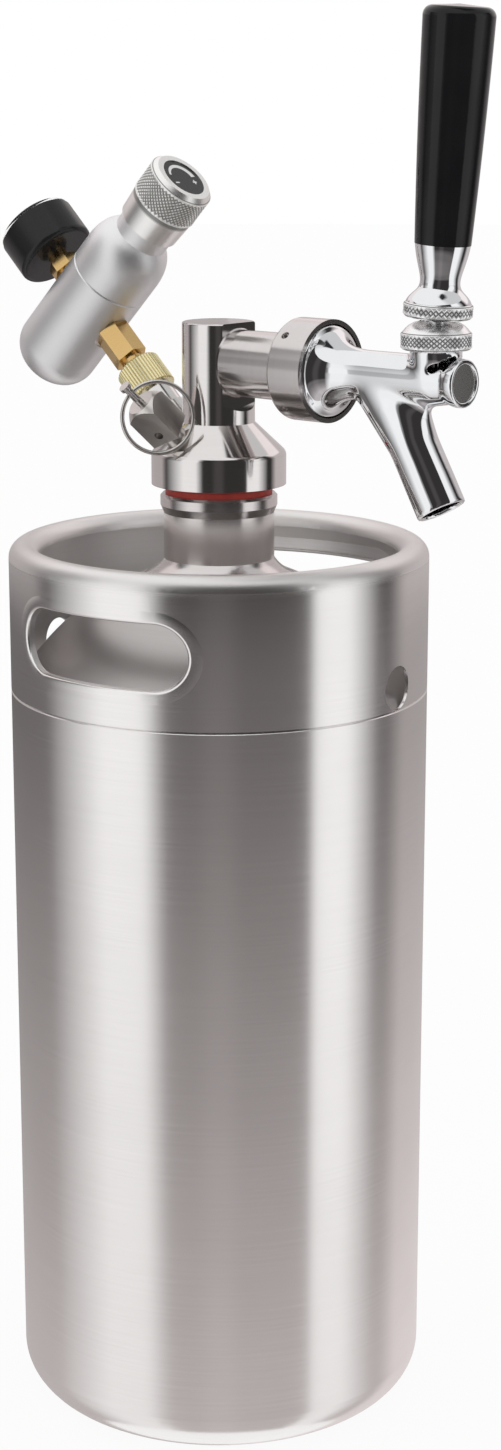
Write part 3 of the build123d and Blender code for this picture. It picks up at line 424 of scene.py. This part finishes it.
def settle(obj):
    """Makes a piece's modifiers part of its mesh."""
    plain = obj.data
    shaped = obj.evaluated_get(bpy.context.evaluated_depsgraph_get())
    obj.data = bpy.data.meshes.new_from_object(shaped)
    obj.modifiers.clear()
    bpy.data.meshes.remove(plain)


def carve(obj, tool):
    """Cuts a tool's shape out of a piece and puts the tool away."""
    cut = obj.modifiers.new("cut", "BOOLEAN")
    cut.object = tool
    cut.operation = "DIFFERENCE"
    cut.solver = "EXACT"
    settle(obj)
    bpy.data.objects.remove(tool)


def lathe(mesh, about, outline, rounds=()):
    """Turns an outline of (radius, height) in millimetres about an axis. Rounds pair the number of
    a corner with its radius."""
    points = [mesh.verts.new((radius * MM, 0, height * MM)) for radius, height in outline]
    for pair in zip(points, points[1:]):
        mesh.edges.new(pair)
    for corner, radius in rounds:
        bmesh.ops.bevel(mesh, geom=[points[corner]], affect="VERTICES", offset_type="WIDTH", segments=8,
                        offset=radius * MM, profile=0.5, material=-1)
    bmesh.ops.spin(mesh, geom=mesh.verts[:] + mesh.edges[:], cent=(0, 0, 0), axis=(0, 0, 1),
                   angle=2 * math.pi, steps=128, use_merge=True)
    bmesh.ops.remove_doubles(mesh, verts=mesh.verts, dist=1e-6)
    bmesh.ops.recalc_face_normals(mesh, faces=mesh.faces)
    bmesh.ops.transform(mesh, matrix=about, verts=mesh.verts)


def toothed(mesh, about, outline, band, count, rows, depth):
    """A turned piece whose band, the outline's line from point number band on, has cut teeth:
    ribs along the axis where rows is 1, and diamonds where the band is divided into more."""
    points = [mesh.verts.new((radius * MM, 0, height * MM)) for radius, height in outline]
    lines = [mesh.edges.new(pair) for pair in zip(points, points[1:] + points[:1])]
    crest, low = outline[band]
    high = outline[band + 1][1]
    if rows > 1:
        bmesh.ops.subdivide_edges(mesh, edges=[lines[band]], cuts=rows - 1)
    bmesh.ops.spin(mesh, geom=mesh.verts[:] + mesh.edges[:], cent=(0, 0, 0), axis=(0, 0, 1),
                   angle=2 * math.pi, steps=2 * count, use_merge=True)
    bmesh.ops.remove_doubles(mesh, verts=mesh.verts, dist=1e-6)
    bmesh.ops.recalc_face_normals(mesh, faces=mesh.faces)
    on_band = [face for face in mesh.faces
               if all(vert.co.xy.length > (crest - 0.05) * MM for vert in face.verts)
               and low < face.calc_center_median().z / MM < high]
    sink_teeth(on_band, low, high, count, rows, depth)
    bmesh.ops.triangulate(mesh, faces=on_band, quad_method="SHORT_EDGE")
    bmesh.ops.transform(mesh, matrix=about, verts=mesh.verts)


def sink_teeth(faces, low, high, count, rows, depth):
    """Sinks every other crossing inside a band's grid, or every other line along it."""
    for vert in {vert for face in faces for vert in face.verts}:
        turn = round(math.atan2(vert.co.y, vert.co.x) / math.pi * count)
        row = round((vert.co.z / MM - low) / (high - low) * rows) if rows > 1 else 0
        inside = rows == 1 or 0 < row < rows
        if inside and (turn + row) % 2:
            vert.co.xy *= 1 - depth * MM / vert.co.xy.length


def fit_piece(obj, body, finish_slot, *stands_for):
    """Puts a piece on its body, in place of CAD nodes where it stands for any. The name of its finish is
    not used."""
    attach(obj, body)
    if stands_for:
        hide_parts(*stands_for)


# ------------------------------------------------------------------ tapping head
cap_bottom = 375.4
cap_shoulder = 389.1
cap_radius = 26.3
cap_underside = 22.4
cap_chamfer = 1.2
plug_radius = 18.3
plug_depth = 24
plug_chamfer = 1
cone_top = 400.7
cone_inset = 0.1
cone_foot_round = 2.4
post_radius = 14.1
post_root = 1
post_top = 439.2
post_rim_round = 1.1
spot_distance = 10.5
spot_radius = 18.3
spot_reach = 30
pipe_radius = 12.75
pipe_end = 47.0
pipe_flare = 0.5


def cap_shape(mesh):
    """Plug, underside, polished edge band and cone, with the cone's foot rounded over the band."""
    plug_end = cap_bottom - plug_depth
    lathe(mesh, UPRIGHT, [(0, plug_end), (plug_radius - plug_chamfer, plug_end),
                          (plug_radius, plug_end + plug_chamfer), (plug_radius, cap_bottom),
                          (cap_underside, cap_bottom), (cap_radius, cap_bottom + cap_chamfer),
                          (cap_radius, cap_shoulder), (post_radius - cone_inset, cone_top),
                          (0, cone_top)], rounds=[(6, cone_foot_round)])


def post_shape(mesh):
    """A round post, let a little into the cone."""
    lathe(mesh, UPRIGHT, [(0, cone_top - post_root), (post_radius, cone_top - post_root),
                          (post_radius, post_top), (0, post_top)], rounds=[(2, post_rim_round)])


def spot_shape(mesh):
    """The tool that mills the flat face for the pipe."""
    lathe(mesh, TAP, [(0, spot_distance), (spot_radius, spot_distance), (spot_radius, spot_reach),
                      (0, spot_reach)])


def pipe_shape(mesh):
    """The pipe, with the bead that joins it to the flat face."""
    lathe(mesh, TAP, [(0, spot_distance), (pipe_radius + pipe_flare, spot_distance),
                      (pipe_radius, spot_distance + pipe_flare), (pipe_radius, pipe_end), (0, pipe_end)])


cap = add("cap", cap_shape, head_polish.material)
shade(cap)
fit_piece(cap, "keg", "polished_steel", "cap_body")
post = add("post", post_shape, head_polish.material)
carve(post, add("spot_face_tool", spot_shape, head_polish.material))
shade(post)
fit_piece(post, "keg", "polished_steel", "head_post")
pipe = add("tap_pipe", pipe_shape, pipe_turning.material)
shade(pipe)
fit_piece(pipe, "keg", "turned_steel", "outlet_pipe")


# ------------------------------------------------------------------ tap casting
voxel = 0.45
flow_rounds = 100
polish_rounds = 14
bell_foot = 64
nose_start = 112
throat_top = 432.5
mouth_start = 42
spout_lean = math.radians(30)
spout_way = Vector((0, -math.sin(spout_lean), -math.cos(spout_lean)))
spout_root = Vector((0, -82, tap_height))


def casting_shape(mesh):
    """The tap's own solid with its loose triangles joined up."""
    mesh.from_mesh(nodes["tap_body"].data)
    bmesh.ops.remove_doubles(mesh, verts=mesh.verts, dist=1e-6)


def softened(point):
    """How much the casting is smoothed at a point: fully where barrel, throat and spout flow together,
    and not at the bell, the nose's disc, the throat's top or the spout's mouth."""
    here = point / MM
    along_spout = (here - spout_root).dot(spout_way)
    fades = ((-here.y - bell_foot, 6), (nose_start + here.y, 3), (throat_top - here.z, 2.5),
             (mouth_start - along_spout, 8))
    return max(0.0, min(1.0, *(distance / width for distance, width in fades)))


casting = add("tap_casting", casting_shape, chrome.material)
recast = casting.modifiers.new("recast", "REMESH")
recast.mode = "VOXEL"
recast.voxel_size = voxel * MM
settle(casting)
blend = casting.vertex_groups.new(name="blend")
for vert in casting.data.vertices:
    blend.add([vert.index], softened(vert.co), "REPLACE")
flow = casting.modifiers.new("flow", "SMOOTH")
flow.factor = 0.5
flow.iterations = flow_rounds
flow.vertex_group = "blend"
polish = casting.modifiers.new("polish", "SMOOTH")
polish.factor = 0.5
polish.iterations = polish_rounds
settle(casting)
shade(casting, 50)
fit_piece(casting, "keg", "tap_chrome", "tap_body")


# ------------------------------------------------------------------ hand slots
keg_radius = 82.5
keg_turn = math.radians(7.2)
slot_left = 38.9
slot_right = -37.2
slot_low = 311.1
slot_high = 336.3


def lip_shape(mesh, side):
    """A slot's rolled edge: a flat flange on the wall, a quarter round and a turned-in skirt. It is
    made flat, with a section of (outward, depth) points, and then bent round the wall."""
    flange = 6.0
    roll = 1.3
    proud = 0.06
    skirt = 3.2
    section = [(flange, 0.15), (4.6, -0.04), (roll, -proud)]
    section += [(roll - roll * math.sin(t), roll - proud - roll * math.cos(t))
                for t in (math.radians(18 * step) for step in range(1, 6))]
    section += [(0, skirt), (0.5, skirt + 0.3), (1.1, skirt), (1.2, 2.2), (flange, 1.1)]
    half_height = (slot_high - slot_low) / 2
    half_width = (slot_left - slot_right) / 2
    segments = 56
    rings = []
    for outward, depth in section:
        made = bmesh.ops.create_circle(mesh, radius=half_height + outward, segments=segments,
                                       matrix=Matrix.Rotation(math.pi / segments, 4, "Z"))
        for vert in made["verts"]:
            vert.co.x += math.copysign(half_width - half_height, vert.co.x)
            vert.co.z = depth
        rings.append(list({edge for vert in made["verts"] for edge in vert.link_edges}))
    for ring, following in zip(rings, rings[1:] + rings[:1]):
        bmesh.ops.bridge_loops(mesh, edges=ring + following)
    # cuts across the long sides let them bend with the wall
    for cut in range(-22, 23, 2):
        bmesh.ops.bisect_plane(mesh, geom=mesh.verts[:] + mesh.edges[:] + mesh.faces[:], dist=1e-5,
                               plane_co=(cut, 0, 0), plane_no=(1, 0, 0))
    for vert in mesh.verts:
        chord = vert.co.x + (slot_left + slot_right) / 2
        angle = math.asin(chord / keg_radius) - keg_turn
        reach = (keg_radius - vert.co.z) * side
        height = vert.co.y + (slot_high + slot_low) / 2
        vert.co = Vector((-math.cos(angle) * reach, math.sin(angle) * reach, height)) * MM
    bmesh.ops.recalc_face_normals(mesh, faces=mesh.faces)


for name, side in (("slot_lip_1", 1), ("slot_lip_2", -1)):
    lip = add(name, lip_shape, keg_wall.material, side)
    shade(lip)
    fit_piece(lip, "keg", "keg_wall")


# ------------------------------------------------------------------ knurled rings, knob and nut
# each outline is (radius, height) in millimetres along the piece's own axis
def bonnet_shape(mesh):
    """The tap's lower ring: diamonds on its band, and a dome that the lever's ring glides over."""
    outline = [(8.0, -5.6), (12.1, -5.6), (bonnet_radius, -4.8), (bonnet_radius, 0.1), (12.1, 0.9),
               (11.3, 1.9), (10.0, 3.1), (8.3, 4.0), (6.2, 4.6), (8.0, 0.5)]
    toothed(mesh, BONNET, outline, band=2, count=42, rows=6, depth=knurl_depth)


def ring_shape(mesh):
    """The lever's ring: diamonds on its band, and a hollow that clears the dome below."""
    outline = [(10.9, 6.0), (11.8, 6.0), (ring_radius, 6.8), (ring_radius, 10.4), (11.8, 11.2),
               (3.65, 11.2), (3.65, 8.5), (9.1, 8.5), (10.1, 7.28)]
    toothed(mesh, LEVER, outline, band=2, count=42, rows=4, depth=knurl_depth)


def knob_shape(mesh):
    """Skirt, diamond band and a pale bevelled rim round the sunk disc."""
    outline = [(8.9, 44.3), (12.4, 44.3), (13.1, 55.2), (knob_radius, 55.7), (knob_radius, 67.6),
               (11.6, 69.6), (9.15, 69.6), (9.15, 68.6), (2.55, 68.6), (2.55, 58.0), (8.9, 58.0)]
    toothed(mesh, KNOB, outline, band=3, count=48, rows=14, depth=knurl_depth)


def nut_shape(mesh):
    """The gas union's nut, with ribs along its band."""
    outline = [(4.65, 18.5), (8.6, 18.5), (nut_radius, 19.2), (nut_radius, 31.3), (8.6, 32.0),
               (4.65, 32.0)]
    toothed(mesh, GAS, outline, band=2, count=44, rows=1, depth=knurl_depth)


for name, shape, finish, body, finish_slot, stands_for in (
        ("bonnet_ring", bonnet_shape, bonnet_knurl, "keg", "tap_chrome", "tap_bonnet"),
        ("upper_ring", ring_shape, ring_knurl, "lever", "tap_chrome", "lever_ring"),
        ("knob_grip", knob_shape, knob_knurl, "knob", "knob_aluminium", "reg_knob"),
        ("union_nut", nut_shape, nut_brass, "keg", "nut_brass", "gas_nut")):
    ring = add(name, shape, finish.material)
    shade(ring, 20)
    fit_piece(ring, body, finish_slot, stands_for)


# ------------------------------------------------------------------ studio
tent_radius = 0.5
tent_height = 0.8
camera_side = math.radians(221.3)
tent_frame = place((0, 0, 0), (0, 0, 1), (math.cos(camera_side), math.sin(camera_side), 0))


def tent_shape(mesh):
    """A round light tent that reaches below the floor, open at both ends."""
    foot = mesh.verts.new((tent_radius, 0, -tent_height))
    head = mesh.verts.new((tent_radius, 0, tent_height))
    bmesh.ops.spin(mesh, geom=[foot, head, mesh.edges.new((foot, head))], cent=(0, 0, 0), axis=(0, 0, 1),
                   angle=2 * math.pi, steps=96, use_merge=True)


def ceiling_shape(mesh):
    """The tent's roof."""
    bmesh.ops.create_circle(mesh, cap_ends=True, radius=tent_radius, segments=96,
                            matrix=Matrix.Translation((0, 0, tent_height)))


def floor_shape(mesh):
    """A wide floor, so that its edge stays out of every view."""
    bmesh.ops.create_circle(mesh, cap_ends=True, radius=9.0, segments=64)


def seen_directly(tree):
    """1 where the camera, a reflection or a clear piece sees the surface."""
    path = tree.nodes.new("ShaderNodeLightPath")
    seen = Value(tree, path.outputs["Is Camera Ray"])
    for kind in ("Is Glossy Ray", "Is Transmission Ray"):
        seen = seen.math("MAXIMUM", Value(tree, path.outputs[kind]))
    return seen


# the tent is dark cloth with two lit panels, left and right of the camera. Only reflections see it.
# turn is in degrees from the camera's side, and levels are in millimetres
tent_cloth = Finish("tent_cloth", (1, 1, 1))
_, tent_angle, tent_level = tent_cloth.round_about(tent_frame)
turn = tent_angle * (180 / math.pi)
above_keg = tent_level.over(255, 50)
high = tent_level.over(440, 40) * tent_level.under(600, 40)
top = tent_level.over(590, 40)
below = tent_level.under(-20, 400)
left_panel = turn.over(-80, 38) * turn.under(-32, 12)
left_strip = turn.over(-60, 14) * turn.under(-38, 12) * 2.2
right_panel = turn.over(48, 3) * turn.under(79, 22) * 1.08
right_strip = turn.over(54, 8) * turn.under(72, 14) * tent_level.over(500, 120) * 1.6
panels = (left_panel + right_panel) * (1.0 - high * 0.35) + (left_strip + right_strip) * high
lit = panels * (0.98 - below * 0.22)
camera_gleam = turn.over(-8, 8) * turn.under(8, 8) * 0.035
behind_right = turn.over(105, 14) * (above_keg * 0.30 + 0.22)
behind_left = turn.under(-104, 14) * above_keg * 0.42
back = abs(turn).over(104, 14) * top * 0.4
dark = below * 0.36 + behind_right + behind_left + camera_gleam + back + 0.145 - above_keg * 0.11
tent_dark = tent_cloth.node("CombineColor", Red=dark * 1.05, Green=dark * 0.97, Blue=dark * 0.97)
tent_mix = tent_cloth.node("Mix", {"data_type": "RGBA"}, Factor=lit, A=tent_cloth.out(tent_dark),
                           B=(1.0, 1.0, 1.0, 1.0))
tent_cloth.surface(tent_cloth.node("Emission", Color=tent_cloth.out(tent_mix, "Result"), Strength=1.0))

# the roof is brighter on the left than on the right, with a dark gap to the right
ceiling_cloth = Finish("ceiling_cloth", (1, 1, 1))
ceiling_radius, ceiling_angle, _ = ceiling_cloth.round_about(tent_frame)
ceiling_turn = ceiling_angle * (180 / math.pi)
gap = ceiling_turn.over(38, 8) * ceiling_turn.under(80, 8)
gap = gap * ceiling_radius.over(50, 30) * ceiling_radius.under(230, 40)
ceiling_light = (ceiling_turn.under(38, 20) * 0.30 + 0.62) * (1.0 - gap) + 0.03
ceiling_cloth.surface(ceiling_cloth.node("Emission", Strength=ceiling_light))

tent = add("tent", tent_shape, tent_cloth.material)
ceiling = add("ceiling", ceiling_shape, ceiling_cloth.material)
for cloth in (tent, ceiling):
    cloth.visible_camera = False
    cloth.visible_diffuse = False
    cloth.visible_transmission = False
    cloth.visible_shadow = False

# the floor is matt, so that it keeps the shadow, and white where it is seen. Metal doesn't mirror it
floor_pale = Finish("floor_pale", (1, 1, 1))
floor_matt = floor_pale.node("BsdfDiffuse", Color=(0.92, 0.92, 0.92, 1.0))
floor_white = floor_pale.node("Emission", Strength=1.0)
floor_mix = floor_pale.node("MixShader", Fac=seen_directly(floor_pale.tree) * 0.92)
floor_pale.tree.links.new(floor_matt.outputs[0], floor_mix.inputs[1])
floor_pale.tree.links.new(floor_white.outputs[0], floor_mix.inputs[2])
floor_pale.surface(floor_mix)
floor = add("floor", floor_shape, floor_pale.material)
floor.visible_glossy = False

# the room lights the keg a little less than the white that is seen behind it
world = bpy.data.worlds.new("studio")
bpy.context.scene.world = world
world.use_nodes = True
world_tree = world.node_tree
world_tree.nodes.clear()
room = world_tree.nodes.new("ShaderNodeBackground")
white = world_tree.nodes.new("ShaderNodeBackground")
for backdrop, strength in ((room, 0.85), (white, 1.0)):
    backdrop.inputs["Color"].default_value = (1.0, 1.0, 1.0, 1.0)
    backdrop.inputs["Strength"].default_value = strength
world_mix = world_tree.nodes.new("ShaderNodeMixShader")
world_tree.links.new(seen_directly(world_tree).socket, world_mix.inputs[0])
world_tree.links.new(room.outputs[0], world_mix.inputs[1])
world_tree.links.new(white.outputs[0], world_mix.inputs[2])
world_output = world_tree.nodes.new("ShaderNodeOutputWorld")
world_tree.links.new(world_mix.outputs[0], world_output.inputs[0])

camera = bpy.data.objects.new("camera", bpy.data.cameras.new("camera"))
bpy.context.scene.collection.objects.link(camera)
bpy.context.scene.camera = camera
camera.data.sensor_fit = "AUTO"
camera.data.sensor_width = 36.0
camera.data.lens = 64.535
camera.data.clip_start = 0.05
camera.data.clip_end = 50.0
camera.location = (-0.7494, -0.6748, 0.52945)
camera_dip = 13.944
camera_heading = math.radians(41.30)
camera.rotation_euler = (math.radians(90 - camera_dip), 0.0, camera_heading - math.pi / 2)

bpy.context.scene.view_settings.view_transform = "Standard"
